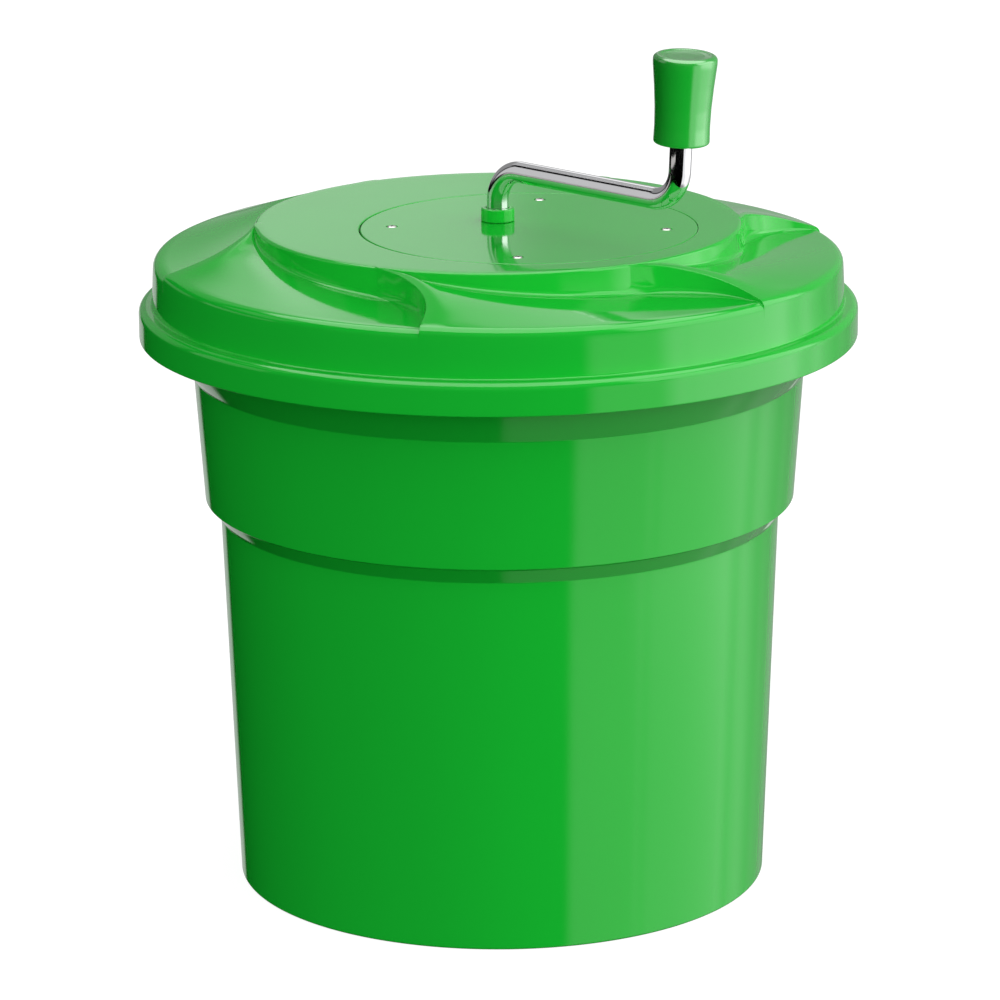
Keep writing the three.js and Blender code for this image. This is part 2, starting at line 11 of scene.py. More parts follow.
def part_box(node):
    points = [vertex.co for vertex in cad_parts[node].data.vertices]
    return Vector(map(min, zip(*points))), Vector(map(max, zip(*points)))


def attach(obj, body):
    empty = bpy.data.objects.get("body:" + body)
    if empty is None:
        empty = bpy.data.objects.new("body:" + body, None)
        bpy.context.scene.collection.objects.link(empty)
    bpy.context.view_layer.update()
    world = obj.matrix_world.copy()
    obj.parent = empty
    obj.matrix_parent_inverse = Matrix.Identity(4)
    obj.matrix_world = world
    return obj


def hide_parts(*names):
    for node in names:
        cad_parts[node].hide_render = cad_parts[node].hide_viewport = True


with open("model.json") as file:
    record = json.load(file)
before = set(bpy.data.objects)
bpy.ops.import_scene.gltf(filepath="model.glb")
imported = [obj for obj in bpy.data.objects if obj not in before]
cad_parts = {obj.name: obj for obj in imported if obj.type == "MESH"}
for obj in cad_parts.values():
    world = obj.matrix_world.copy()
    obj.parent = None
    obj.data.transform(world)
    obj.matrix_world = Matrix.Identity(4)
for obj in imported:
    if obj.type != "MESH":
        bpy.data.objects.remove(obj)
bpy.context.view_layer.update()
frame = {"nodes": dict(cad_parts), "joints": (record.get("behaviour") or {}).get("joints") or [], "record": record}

MM = 0.001
TAU = 2 * math.pi


def mm(value):
    """A frame length in metres, as millimetres."""
    return value / MM


# ---- driving dimensions, in millimetres ----------------------------------------------------
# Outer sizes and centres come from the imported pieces; the others are the moulded ones.
tub_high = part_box("tub")[1]
lid_low, lid_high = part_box("lid")
cover_low, cover_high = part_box("gear_cover")
rod_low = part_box("crank_rod")[0]
bush_low, bush_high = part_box("crank_bush")
basket_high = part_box("basket")[1]
plate_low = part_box("drive_plate")[0]
pin_low, pin_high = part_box("countershaft_pin")

WALL = 3.0  # moulded wall of tub and lid
FOOT_R = 160.2
FOOT_WIDTH = 5.5  # of the ring that the tub stands on
LOWER_DRAFT = 0.0366  # lower wall: growth of its radius for each millimetre of height
STEP_Z = 226.3
LIP_R = 177.6
LIP_Z = 236.3
UPPER_DRAFT = 0.07
FLARE_Z = 313.4
RIM_R = mm(tub_high.x)
RIM_Z = mm(tub_high.z)
RIM_UNDER_Z = RIM_Z - 10.8
RIM_INNER_R = 203.0
FLOOR_Z = 15.0
FLOOR_TOP_Z = 18.5
PIVOT_PAD_Z = 20.0  # the floor is thicker round the pivot
PIVOT_PAD_R = 18.0
PIVOT_BORE_R = 4.3

LID_R = 215.0
SKIRT_Z = mm(lid_low.z)
LEDGE_Z = 355.7
BRIM_R = 207.0  # rim wall of the swirl, where it meets the ledge
RIB_INNER_R = 197.0  # the rib that drops inside the tub
RIB_OUTER_R = 199.5
RIB_Z = 343.0
PLATFORM_R = 145.0
PLATFORM_Z = mm(lid_high.z)
INNER_REACH = 9.0  # the platform's flat edge is joined to the cover's recess this far inside it
SWIRL_R = 200.0
SWIRL_Z = 384.0
SECTORS = 6
SWIRL_START = -102.5  # azimuth of the first crest at the rim, in degrees
SWIRL_SWEEP = 12.5  # how far a crest turns between rim and platform
POCKET_DEPTH = 18.0
POCKET_POWER = 0.45  # how soon the ramp behind a crest falls away
POCKET_START = 0.045  # share of a sector over which the crest stays level
POCKET_EASE = 0.006
MIN_DEPTH = 0.5  # so that a crest still has an edge along the platform
CORNER_REACH = 7.0  # where a crest meets the platform: how far out the corner is rounded
CORNER_TURN = 3.6  # and how far round, in degrees
RIM_NOTCH = 0.9  # height of a riser where it runs out at the rim
FOOT_ROUND, CREST_ROUND, RISER_LEAN = 0.30, 0.11, 0.1  # of a riser, as shares of its height
ROUND_STEPS = 7
SECTOR_STEPS = 30
RAMP_STEPS = 16
UNDERSIDE_LAG = 0.022  # the lower side of a riser trails the upper by this share of a sector

COVER = Vector((mm(cover_low.x + cover_high.x) / 2, mm(cover_low.y + cover_high.y) / 2))
COVER_R = mm(cover_high.x - cover_low.x) / 2
RECESS = COVER + Vector((-0.24, 0.2))  # the cover sits a little to one side in its recess
COVER_T = mm(cover_high.z - cover_low.z)
RECESS_DEPTH = 4.3  # of the step that the cover lies in
WELL_R = 96.0
WELL_FLOOR_Z = 377.5
BOSS_Z = 362.0  # lower end of the two bearing bosses
OUTPUT_BOSS_R = 17.0
OUTPUT_BORE_R = 12.3
IDLER = (mm(pin_low.x + pin_high.x) / 2, mm(pin_low.y + pin_high.y) / 2)
IDLER_BOSS_R = 11.0
IDLER_BORE_R = 5.3
PIN_GAP = 0.3  # under the idler's pin
SCREW_HEAD_R = 3.25
SCREW_HEAD_T = 2.1
SCREW_SHANK_R = 1.6
COLLAR_R = 10.0

ROD_R = 6.5
BEND_R = 20.0
BEND_STEPS = 28
ROD_SIDES = 56
ROD_REACH = 68.5  # past the corner, along the grip's axis
GRIP_FOOT = 35.4
GRIP_TOP = 87.2
GRIP_SEAT = 68.4  # floor of the well under the cap
GRIP_WELL_R = 11.0
GRIP_BORE_R = ROD_R + 0.4
grip_joint = next(joint for joint in frame["joints"] if joint["name"] == "grip_spin")
ARM_END = Vector(grip_joint["pos_m"]) / MM
GRIP_WAY = Vector(grip_joint["axis"]).normalized()

BASKET_R = 146.0  # outside, at its foot
BASKET_DRAFT = 0.0444
BASKET_FLOOR_Z = 30.0
BASKET_WALL = 2.5
BASKET_RIM_R = 166.0
BASKET_RIM_UNDER_Z = 340.0
BASKET_SLOTS = 18
SLOT_WIDTH = 7.0
SLOT_ROWS = ((50, 180), (194, 324))  # lower and upper end of each row of wall slots
SLOT_AZIMUTH = math.radians(10)
NOTCHES = 6
NOTCH_AZIMUTH = math.radians(7.5)  # drive notches, and the ribs and dogs that drop into them

PLATE_Z = mm(plate_low.z) + 10  # underside of the drive plate's disc
PLATE_R = 164.0
PLATE_T = 3.0
PLATE_HUB_Z = 357.7
PLATE_HUB_R = 20.0
WINDOW_AZIMUTH = math.radians(37.5)
WINDOW_PITCH_R = 98.0
WINDOW_R = 24.0


# ---- mesh helpers --------------------------------------------------------------------------
def arc(corner, before, after, radius, steps):
    """Points of the round that replaces the corner between two straight runs."""
    to_before = (before - corner).normalized()
    to_after = (after - corner).normalized()
    half = math.acos(max(-1, min(1, to_before.dot(to_after)))) / 2
    reach = radius / math.tan(half)
    centre = corner + (to_before + to_after).normalized() * (radius / math.sin(half))
    start = corner + to_before * reach - centre
    turn = start.angle_signed(corner + to_after * reach - centre)
    return [centre + Matrix.Rotation(-turn * i / steps, 2) @ start for i in range(steps + 1)]


def outline(corners, closed=True, support=0.8):
    """A section from (radius, height, rounding) corners: rounds as arcs, and each long straight
    run held by a point near both its ends so that shading stays flat along it."""
    points = [Vector(c[:2]) for c in corners]
    rounds = [c[2] if len(c) > 2 else 0 for c in corners]
    runs = []
    for i, (point, radius) in enumerate(zip(points, rounds)):
        inner = closed or 0 < i < len(points) - 1
        if radius and inner:
            before, after = points[i - 1], points[(i + 1) % len(points)]
            bend = (before - point).angle(after - point)
            steps = max(2, math.ceil((math.pi - bend) / math.radians(9)))
            runs.append(arc(point, before, after, radius, steps))
        else:
            runs.append([point])
    section = []
    for i, run in enumerate(runs):
        section += run
        if not closed and i == len(runs) - 1:
            break
        a, b = run[-1], runs[(i + 1) % len(runs)][0]
        if (b - a).length > 4 * support:
            step = (b - a).normalized() * support
            section += [a + step, b - step]
    return section


def mesh_object(name, bm):
    bmesh.ops.remove_doubles(bm, verts=bm.verts, dist=1e-7)
    bmesh.ops.recalc_face_normals(bm, faces=bm.faces)
    mesh = bpy.data.meshes.new(name)
    bm.to_mesh(mesh)
    bm.free()
    piece = bpy.data.objects.new(name, mesh)
    bpy.context.scene.collection.objects.link(piece)
    return piece


def skin_rings(bm, rings, closed):
    """Joins rings of vertices into quads; a ring of one vertex is a pole."""
    pairs = list(zip(rings, rings[1:] + rings[:1])) if closed else list(zip(rings, rings[1:]))
    for low, high in pairs:
        count = max(len(low), len(high))
        if count == 1:
            continue
        for i in range(count):
            j = (i + 1) % count
            corners = [low[i % len(low)], low[j % len(low)], high[j % len(high)], high[i % len(high)]]
            unique = list(dict.fromkeys(corners))
            if len(unique) > 2:
                bm.faces.new(unique)


def add_lathe(bm, section, segments, centre=(0, 0), closed=True):
    """Turns a section of (radius, height) points, in millimetres, about a vertical axis."""
    rings = []
    for r, z in section:
        if r < 1e-6:
            rings.append([bm.verts.new((centre[0] * MM, centre[1] * MM, z * MM))])
            continue
        rings.append([
            bm.verts.new(((centre[0] + r * math.cos(TAU * i / segments)) * MM,
                          (centre[1] + r * math.sin(TAU * i / segments)) * MM, z * MM))
            for i in range(segments)
        ])
    skin_rings(bm, rings, closed)


def lathe(name, corners, segments=96, centre=(0, 0), closed=True):
    bm = bmesh.new()
    add_lathe(bm, outline(corners, closed), segments, centre, closed)
    return mesh_object(name, bm)


def add_block(bm, size, place, round_=0.0, turn=0.0):
    """A block with rounded edges, in millimetres, turned about the vertical axis at the origin."""
    made = bmesh.ops.create_cube(bm, size=1)["verts"]
    bmesh.ops.scale(bm, vec=Vector(size) * MM, verts=made)
    bmesh.ops.translate(bm, vec=Vector(place) * MM, verts=made)
    bmesh.ops.rotate(bm, cent=(0, 0, 0), matrix=Matrix.Rotation(turn, 3, "Z"), verts=made)
    if round_:
        edges = list({e for v in made for e in v.link_edges})
        bmesh.ops.bevel(bm, geom=edges, offset=round_ * MM, segments=3, affect="EDGES", profile=0.5)


def cut(piece, cutter_bm, self_crossing=True):
    """Cuts the cutter's solids out of the piece."""
    cutter = mesh_object(piece.name + "_cutter", cutter_bm)
    modifier = piece.modifiers.new("cut", "BOOLEAN")
    modifier.operation = "DIFFERENCE"
    modifier.solver = "EXACT"
    modifier.use_self = self_crossing
    modifier.object = cutter
    graph = bpy.context.evaluated_depsgraph_get()
    result = bpy.data.meshes.new_from_object(piece.evaluated_get(graph))
    piece.modifiers.clear()
    piece.data = result
    bpy.data.objects.remove(cutter)


def soften(piece, width, segments=2):
    """Rounds the sharp edges that a cut leaves."""
    modifier = piece.modifiers.new("round", "BEVEL")
    modifier.width = width * MM
    modifier.segments = segments
    modifier.limit_method = "ANGLE"
    modifier.angle_limit = math.radians(40)
    modifier.harden_normals = True


def place(piece, body, material, slot, replaces=(), sharp=35):
    """Shades a finished piece, gives it its finish and sets it on its body."""
    piece.data.shade_smooth()
    piece.data.set_sharp_from_angle(angle=math.radians(sharp))
    piece.data.materials.clear()
    piece.data.materials.append(material)
    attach(piece, body)
    if replaces:
        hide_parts(*replaces)
    return piece


# ---- materials -----------------------------------------------------------------------------
class Nodes:
    """A material's node tree, with short calls for the few nodes that the finishes share."""

    def __init__(self, name):
        self.material = bpy.data.materials.new(name)
        self.material.use_nodes = True
        self.tree = self.material.node_tree
        self.shader = self.tree.nodes["Principled BSDF"]
        self.place = self.tree.nodes.new("ShaderNodeTexCoord").outputs["Object"]

    def link(self, output, target):
        self.tree.links.new(output, target)

    def set(self, **values):
        for key, value in values.items():
            self.shader.inputs[key.replace("_", " ")].default_value = value

    def noise(self, scale, detail=3.0, stretch=None):
        node = self.tree.nodes.new("ShaderNodeTexNoise")
        node.inputs["Scale"].default_value = scale
        node.inputs["Detail"].default_value = detail
        source = self.place
        if stretch:
            mapping = self.tree.nodes.new("ShaderNodeMapping")
            mapping.inputs["Scale"].default_value = stretch
            self.link(self.place, mapping.inputs["Vector"])
            source = mapping.outputs["Vector"]
        self.link(source, node.inputs["Vector"])
        return node.outputs["Fac"]

    def spread(self, output, low, high, start=0.3, end=0.7):
        """Maps a noise output onto a range of values."""
        node = self.tree.nodes.new("ShaderNodeMapRange")
        node.inputs["From Min"].default_value = start
        node.inputs["From Max"].default_value = end
        node.inputs["To Min"].default_value = low
        node.inputs["To Max"].default_value = high
        self.link(output, node.inputs["Value"])
        return node.outputs["Result"]

    def mix(self, factor, first, second):
        node = self.tree.nodes.new("ShaderNodeMix")
        node.data_type = "RGBA"
        self.link(factor, node.inputs[0])
        node.inputs[6].default_value = (*first, 1)
        node.inputs[7].default_value = (*second, 1)
        return node.outputs[2]

    def bump(self, height, strength, distance, normal=None):
        node = self.tree.nodes.new("ShaderNodeBump")
        node.inputs["Strength"].default_value = strength
        node.inputs["Distance"].default_value = distance
        self.link(height, node.inputs["Height"])
        if normal:
            self.link(normal, node.inputs["Normal"])
        return node.outputs["Normal"]


def shade(colour, factor):
    return tuple(c * factor for c in colour)


def moulded_plastic(name, colour, roughness, ripple=1.0, ior=1.5, scuff=1.0):
    """Gloss moulded plastic: faint flow marks in the colour, fine handling scuffs in the gloss,
    and the slight ripple that a moulded skin has."""
    n = Nodes(name)
    n.set(IOR=ior)
    flow = n.noise(7.0, 4.0, (1.0, 1.0, 0.35))
    tone = n.mix(n.spread(flow, 0, 1), shade(colour, 0.965), shade(colour, 1.035))
    n.link(tone, n.shader.inputs["Base Color"])
    scuffs = n.noise(260.0, 6.0, (1.0, 1.0, 0.22))
    low, high = roughness * (1 - 0.15 * scuff), roughness * (1 + 0.3 * scuff)
    n.link(n.spread(scuffs, low, high), n.shader.inputs["Roughness"])
    skin = n.bump(n.noise(38.0, 1.5), 0.05 * ripple, 0.0006)
    n.link(n.bump(n.noise(900.0, 2.0), 0.012 * ripple, 0.0002, skin), n.shader.inputs["Normal"])
    return n.material


def polished_metal(name, colour, roughness, brushed=None):
    """Bright metal; brushed gives the grain's stretch along the frame's axes."""
    n = Nodes(name)
    n.set(Metallic=1.0)
    tone = n.noise(40.0, 3.0)
    n.link(n.mix(n.spread(tone, 0, 1), shade(colour, 0.97), colour), n.shader.inputs["Base Color"])
    grain = n.noise(700.0, 4.0, brushed)
    n.link(n.spread(grain, roughness * 0.7, roughness * 1.5), n.shader.inputs["Roughness"])
    n.link(n.bump(grain, 0.02 if brushed is None else 0.08, 0.0001), n.shader.inputs["Normal"])
    return n.material


def matt_moulding(name, colour, roughness):
    """Dull plastic or rubber with a fine grain."""
    n = Nodes(name)
    cloud = n.noise(60.0, 5.0)
    tone = n.mix(n.spread(cloud, 0, 1), shade(colour, 0.93), shade(colour, 1.04))
    n.link(tone, n.shader.inputs["Base Color"])
    n.link(n.spread(n.noise(500.0), roughness * 0.85, roughness * 1.15), n.shader.inputs["Roughness"])
    n.link(n.bump(n.noise(1400.0, 3.0), 0.1, 0.0001), n.shader.inputs["Normal"])
    return n.material


GREEN = (0.0085, 0.50, 0.031)
green = moulded_plastic("green_gloss", GREEN, 0.07)
# Painted shade: the grip's green is the lid's green darkened so that its unlit side reads darker; the grip lamp
# lights its other side back up.
knob_green = moulded_plastic("knob_green", shade(GREEN, 0.53), 0.19, 0.12, 2.1, 0.15)
basket_white = moulded_plastic("basket_white", (0.83, 0.85, 0.82), 0.26, 0.5, 1.5, 0.3)
acetal = matt_moulding("acetal_white", (0.78, 0.78, 0.73), 0.42)
nylon = matt_moulding("nylon_grey", (0.26, 0.28, 0.29), 0.5)
rubber = matt_moulding("seal_rubber", (0.02, 0.02, 0.021), 0.72)
chrome = polished_metal("crank_chrome", (0.84, 0.84, 0.86), 0.075)
steel = polished_metal("steel", (0.56, 0.55, 0.53), 0.28, (1.0, 1.0, 6.0))


# ---- tub -----------------------------------------------------------------------------------
def lower_wall(z):
    return FOOT_R + LOWER_DRAFT * z


def upper_wall(z):
    return LIP_R + UPPER_DRAFT * (z - LIP_Z)


def make_tub():
    inner_foot = FOOT_R - FOOT_WIDTH
    corners = [
        (PIVOT_BORE_R, FLOOR_Z, 0.3), (inner_foot, FLOOR_Z, 3), (inner_foot, 0, 0.8), (FOOT_R, 0, 1.6),
        (lower_wall(STEP_Z), STEP_Z, 0.8), (LIP_R - 1.9, LIP_Z - 0.5, 2.0), (LIP_R, LIP_Z + 0.5, 0.7),
        (upper_wall(FLARE_Z), FLARE_Z, 1.0), (RIM_R - 4, RIM_UNDER_Z, 1.0), (RIM_R, RIM_UNDER_Z, 1.0),
        (RIM_R, RIM_Z, 1.5), (RIM_INNER_R, RIM_Z, 1.5), (RIM_INNER_R, RIM_UNDER_Z + 2.5, 3),
        (upper_wall(FLARE_Z) - WALL, FLARE_Z + 1, 4), (upper_wall(LIP_Z + 2) - WALL, LIP_Z + 2, 3),
        (lower_wall(STEP_Z) - WALL, STEP_Z + 1, 3), (lower_wall(FLOOR_TOP_Z) - WALL, FLOOR_TOP_Z, 9),
        (PIVOT_PAD_R, FLOOR_TOP_Z, 0.8), (PIVOT_PAD_R - 0.6, PIVOT_PAD_Z, 0.5),
        (PIVOT_BORE_R, PIVOT_PAD_Z, 0.3),
    ]
    place(lathe("tub_shell", corners, 256), "tub", green, "green_gloss", ["tub"], 60)


# ---- lid -----------------------------------------------------------------------------------
def share(r):
    return max(0.0, min(1.0, (r - PLATFORM_R) / (SWIRL_R - PLATFORM_R)))


def crest_turn(r):
    """Azimuth of a crest at radius r: it runs out of the platform's wall and ends radially."""
    near_wall = max(0.0, min(1.0, 1 - (r - PLATFORM_R) / CORNER_REACH))
    corner = CORNER_TURN * near_wall ** 2.5
    return math.radians(SWIRL_START - SWIRL_SWEEP * (1 - share(r)) ** 3 - corner)


def pocket(t):
    """Depth of the swirl's floor below the platform; t runs from one crest to the next riser."""
    reach = max(0.0, (t - POCKET_START) / (1 - POCKET_START))
    start, end = POCKET_EASE ** POCKET_POWER, (1 + POCKET_EASE) ** POCKET_POWER
    return POCKET_DEPTH * ((reach + POCKET_EASE) ** POCKET_POWER - start) / (end - start)


def lid_columns():
    """Columns of one sector as (sideways place as a share of riser height, t, share of the fall)."""
    quarter = [math.pi / 2 * i / ROUND_STEPS for i in range(ROUND_STEPS + 1)]
    foot = [(-RISER_LEAN - FOOT_ROUND * (1 - math.sin(a)), 0, 1 - FOOT_ROUND * (1 - math.cos(a)))
            for a in quarter]
    crest = [(CREST_ROUND * (1 - math.cos(a)), 0, CREST_ROUND * (1 - math.sin(a))) for a in quarter]
    field = [(CREST_ROUND, (i / SECTOR_STEPS) ** 1.4, None) for i in range(1, SECTOR_STEPS)]
    return foot + crest + field


def lid_angle(r, sector, column):
    """Azimuth of a column at radius r."""
    offset, t, _ = column
    height = POCKET_DEPTH * (1 - share(r)) + RIM_NOTCH * share(r)
    room = TAU / SECTORS - (CREST_ROUND + RISER_LEAN + FOOT_ROUND) * height / r
    return crest_turn(r) + TAU * sector / SECTORS + offset * height / r + t * room


def swirl_section(depth, fall):
    """Top of the lid from the platform to the skirt, for one column."""
    notch = RIM_NOTCH * fall
    depth = max(depth, MIN_DEPTH)
    platform_end = Vector((PLATFORM_R, PLATFORM_Z))
    foot = Vector((PLATFORM_R + 0.8 * depth / POCKET_DEPTH, PLATFORM_Z - depth))
    brim = Vector((205.7, SWIRL_Z - notch))
    inner = Vector((PLATFORM_R - INNER_REACH, PLATFORM_Z))
    section = [inner, inner + Vector((2, 0))]
    section += arc(platform_end, inner, foot, min(1.9, 0.45 * depth), 7)
    section += arc(foot, platform_end, brim, min(4.2, 0.5 * depth), 10)
    ramp_start = section[-1]
    shoulder = arc(brim, foot, Vector((BRIM_R, LEDGE_Z + 1.3)), 5.2, 8)
    shares = [(i / RAMP_STEPS) ** 1.25 for i in range(1, RAMP_STEPS)]
    section += [ramp_start.lerp(shoulder[0], along) for along in shares]
    section += shoulder
    return section


# Everything outside the swirl, from the rim wall round the skirt to the underside.
BRIM_CORNERS = [
    (BRIM_R - 0.8, 374), (BRIM_R, LEDGE_Z, 1.0), (LID_R, LEDGE_Z, 4.4), (LID_R, SKIRT_Z, 0.9),
    (LID_R - WALL, SKIRT_Z, 0.9), (LID_R - WALL, LEDGE_Z - WALL, 1.2), (RIB_OUTER_R, LEDGE_Z - WALL, 0.6),
    (RIB_OUTER_R, RIB_Z, 0.8), (RIB_INNER_R, RIB_Z, 0.8), (RIB_INNER_R, LEDGE_Z - WALL),
    (203.4, LEDGE_Z + 1, 1), (202.6, 376, 3),
]
# The well for the gears and the step that the cover lies in, from the centre outwards.
RECESS_CORNERS = [
    (0, WELL_FLOOR_Z), (WELL_R, WELL_FLOOR_Z, 2), (WELL_R, PLATFORM_Z - RECESS_DEPTH, 0.4),
    (COVER_R + 0.5, PLATFORM_Z - RECESS_DEPTH, 0.4), (COVER_R + 0.5, PLATFORM_Z, 0.6),
    (COVER_R + 4, PLATFORM_Z),
]
# The well seen from below, from the outside inwards.
DRUM_CORNERS = [
    (WELL_R + 12, PLATFORM_Z - WALL), (WELL_R + 8, PLATFORM_Z - WALL, 2),
    (WELL_R + 8, WELL_FLOOR_Z - WALL, 2), (0, WELL_FLOOR_Z - WALL),
]


def underside_section(depth):
    """The skin's lower side, one wall below the top."""
    foot_z = PLATFORM_Z - WALL - max(depth, MIN_DEPTH)
    corners = [
        Vector((SWIRL_R - 1.5, SWIRL_Z - WALL)), Vector((PLATFORM_R - WALL, foot_z)),
        Vector((PLATFORM_R - WALL, PLATFORM_Z - WALL)),
        Vector((PLATFORM_R - INNER_REACH, PLATFORM_Z - WALL)),
    ]
    ramp = [corners[0].lerp(corners[1], i / 8) for i in range(8)]
    return ramp + arc(corners[1], corners[0], corners[2], min(2, 0.4 * depth + 0.1), 4) + [
        corners[2] - Vector((0, 0.2)), corners[3]]


def lid_column(sector, column, recess, brim, drum):
    """One column of the lid's skin, from the well's centre over the top and back underneath."""
    _, t, fall = column
    depth = pocket(t) if fall is None else POCKET_DEPTH * fall
    notch_share = t if fall is None else fall
    lag = TAU / SECTORS * UNDERSIDE_LAG
    inner_angle = lid_angle(PLATFORM_R - INNER_REACH, sector, column)

    def around(centre, r, z, angle):
        return (centre[0] + r * math.cos(angle), centre[1] + r * math.sin(angle), z)

    top = swirl_section(depth, notch_share) + brim
    spots = [around(RECESS, r, z, inner_angle) for r, z in recess]
    spots += [around((0, 0), r, z, lid_angle(r, sector, column)) for r, z in top]
    spots += [around((0, 0), r, z, lid_angle(r, sector, column) + lag) for r, z in underside_section(depth)]
    spots += [around(COVER, r, z, inner_angle + lag) for r, z in drum]
    return spots


def make_lid():
    bm = bmesh.new()
    sections = [outline(corners, closed=False) for corners in (RECESS_CORNERS, BRIM_CORNERS, DRUM_CORNERS)]
    grid = [
        [bm.verts.new(Vector(spot) * MM) for spot in lid_column(sector, column, *sections)]
        for sector in range(SECTORS) for column in lid_columns()
    ]
    rings = [[column[row] for column in grid] for row in range(len(grid[0]))]
    skin_rings(bm, rings, closed=False)
    lid = mesh_object("lid_shell", bm)
    bores = bmesh.new()
    low, high = WELL_FLOOR_Z - 2 * WALL, WELL_FLOOR_Z + WALL
    for radius, centre in ((OUTPUT_BORE_R, (0, 0)), (IDLER_BORE_R, IDLER)):
        bore = [Vector(p) for p in ((0, low), (radius, low), (radius, high), (0, high))]
        add_lathe(bores, bore, 64, centre, False)
    cut(lid, bores, self_crossing=False)
    place(lid, "lid", green, "green_gloss", ["lid"], 50)


def make_bosses():
    """The two bearing bosses under the well: one bored through, one blind."""
    top = WELL_FLOOR_Z - 2
    output = [
        (OUTPUT_BOSS_R, top), (OUTPUT_BOSS_R, BOSS_Z, 0.8),
        (OUTPUT_BORE_R, BOSS_Z, 0.4), (OUTPUT_BORE_R, top),
    ]
    place(lathe("output_boss", output, 64), "lid", green, "green_gloss")
    blind = mm(pin_low.z) - PIN_GAP
    idler = [
        (0, BOSS_Z), (IDLER_BOSS_R, BOSS_Z, 0.8), (IDLER_BOSS_R, top), (IDLER_BORE_R, top),
        (IDLER_BORE_R, blind), (0, blind),
    ]
    place(lathe("idler_boss", idler, 64, IDLER, closed=False), "lid", green, "green_gloss")


def make_cover():
    bottom = PLATFORM_Z - COVER_T
    corners = [(0, bottom), (COVER_R, bottom, 0.3), (COVER_R, PLATFORM_Z, 0.6), (0, PLATFORM_Z)]
    cover = lathe("gear_cover_disc", corners, 192, COVER, closed=False)
    cutter = bmesh.new()
    below, above, seat = 395, 410, PLATFORM_Z - 2
    collar_r, shank_r, head_r = 8.3, 2, 3.6  # holes for the collar, and for a screw and its head
    collar_hole = ((0, below), (collar_r, below), (collar_r, above), (0, above))
    add_lathe(cutter, [Vector(p) for p in collar_hole], 48, (0, 0), False)
    screw_hole = ((0, below), (shank_r, below), (shank_r, seat), (head_r, seat), (head_r, above), (0, above))
    for i in range(4):
        low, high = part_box(f"cover_screw_{i + 1}")
        centre = (mm(low.x + high.x) / 2, mm(low.y + high.y) / 2)
        add_lathe(cutter, [Vector(p) for p in screw_hole], 32, centre, False)
    cut(cover, cutter)
    soften(cover, 0.25)
    place(cover, "lid", green, "green_gloss", ["gear_cover"])


def make_cover_screws():
    slot = Vector((3.6, 0.75, 2.4))
    for i in range(4):
        low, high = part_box(f"cover_screw_{i + 1}")
        centre = Vector((mm(low.x + high.x) / 2, mm(low.y + high.y) / 2))
        top = mm(high.z)
        under = top - SCREW_HEAD_T
        corners = [
            (0, mm(low.z)), (SCREW_SHANK_R, mm(low.z), 0.4), (SCREW_SHANK_R, under),
            (SCREW_HEAD_R, under, 0.2), (SCREW_HEAD_R, top - 0.9, 0.5),
            (SCREW_HEAD_R * 0.72, top - 0.12, 0.8), (0, top),
        ]
        piece = lathe(f"cover_screw_head_{i + 1}", corners, 48, centre, closed=False)
        cutter = bmesh.new()
        for quarter in range(2):
            turn = Matrix.Rotation(math.radians(20 + 31 * i + 90 * quarter), 3, "Z")
            made = bmesh.ops.create_cube(cutter, size=1)["verts"]
            bmesh.ops.scale(cutter, vec=slot * MM, verts=made)
            bmesh.ops.rotate(cutter, cent=(0, 0, 0), matrix=turn, verts=made)
            bmesh.ops.translate(cutter, vec=Vector((centre.x, centre.y, top)) * MM, verts=made)
        cut(piece, cutter)
        place(piece, "lid", steel, "steel", [f"cover_screw_{i + 1}"])


def make_collar():
    bore, neck, seat = ROD_R + 0.3, 8, PLATFORM_Z + 0.3
    top, bottom = mm(bush_high.z), mm(bush_low.z)
    corners = [
        (bore, bottom, 0.2), (neck, bottom, 0.3), (neck, seat), (COLLAR_R, seat, 0.3),
        (COLLAR_R - 0.1, top, 0.9), (bore, top, 0.5),
    ]
    place(lathe("crank_collar", corners, 96), "lid", green, "green_gloss", ["crank_bush"], 50)


# ---- crank and grip ------------------------------------------------------------------------
def bend(hub, out, up, turn):
    """Centre line of a bend that leaves upwards from the hub's side and turns towards out."""
    line = []
    for i in range(BEND_STEPS + 1):
        a = turn * i / BEND_STEPS
        spot = hub + (up * math.sin(a) - out * math.cos(a)) * BEND_R
        line.append((spot, up * math.cos(a) + out * math.sin(a)))
    return line


def make_rod():
    """The bent rod: rings square to a centre line of three straights and two bends."""
    up = Vector((0, 0, 1))
    arm = Vector((ARM_END.x, ARM_END.y, 0))
    out, reach, arm_z = arm.normalized(), arm.length, ARM_END.z
    side = out.cross(up)
    turn = math.acos(GRIP_WAY.dot(out))
    bend_reach = BEND_R * math.tan(turn / 2)
    foot = mm(rod_low.z)
    line = [(up * z, up) for z in (foot, foot + 0.6, 402, arm_z - BEND_R - 1)]
    line += bend(out * BEND_R + up * (arm_z - BEND_R), out, up, math.pi / 2)
    line += bend(out * (reach - bend_reach) + up * (arm_z + BEND_R), up, out, turn)
    line += [(ARM_END + GRIP_WAY * d, GRIP_WAY) for d in (bend_reach + 1, ROD_REACH - 0.6, ROD_REACH)]
    bm = bmesh.new()
    rings = []
    turns = [TAU * k / ROD_SIDES for k in range(ROD_SIDES)]
    for i, (centre, tangent) in enumerate(line):
        radius = ROD_R - (0.5 if i in (0, len(line) - 1) else 0)
        across = tangent.cross(side)
        spots = [centre + (side * math.cos(a) + across * math.sin(a)) * radius for a in turns]
        rings.append([bm.verts.new(spot * MM) for spot in spots])
    first, last = (bm.verts.new(line[i][0] * MM) for i in (0, -1))
    skin_rings(bm, [[first], *rings, [last]], closed=False)
    place(mesh_object("crank_bar", bm), "crank", chrome, "crank_chrome", ["crank_rod"], 40)


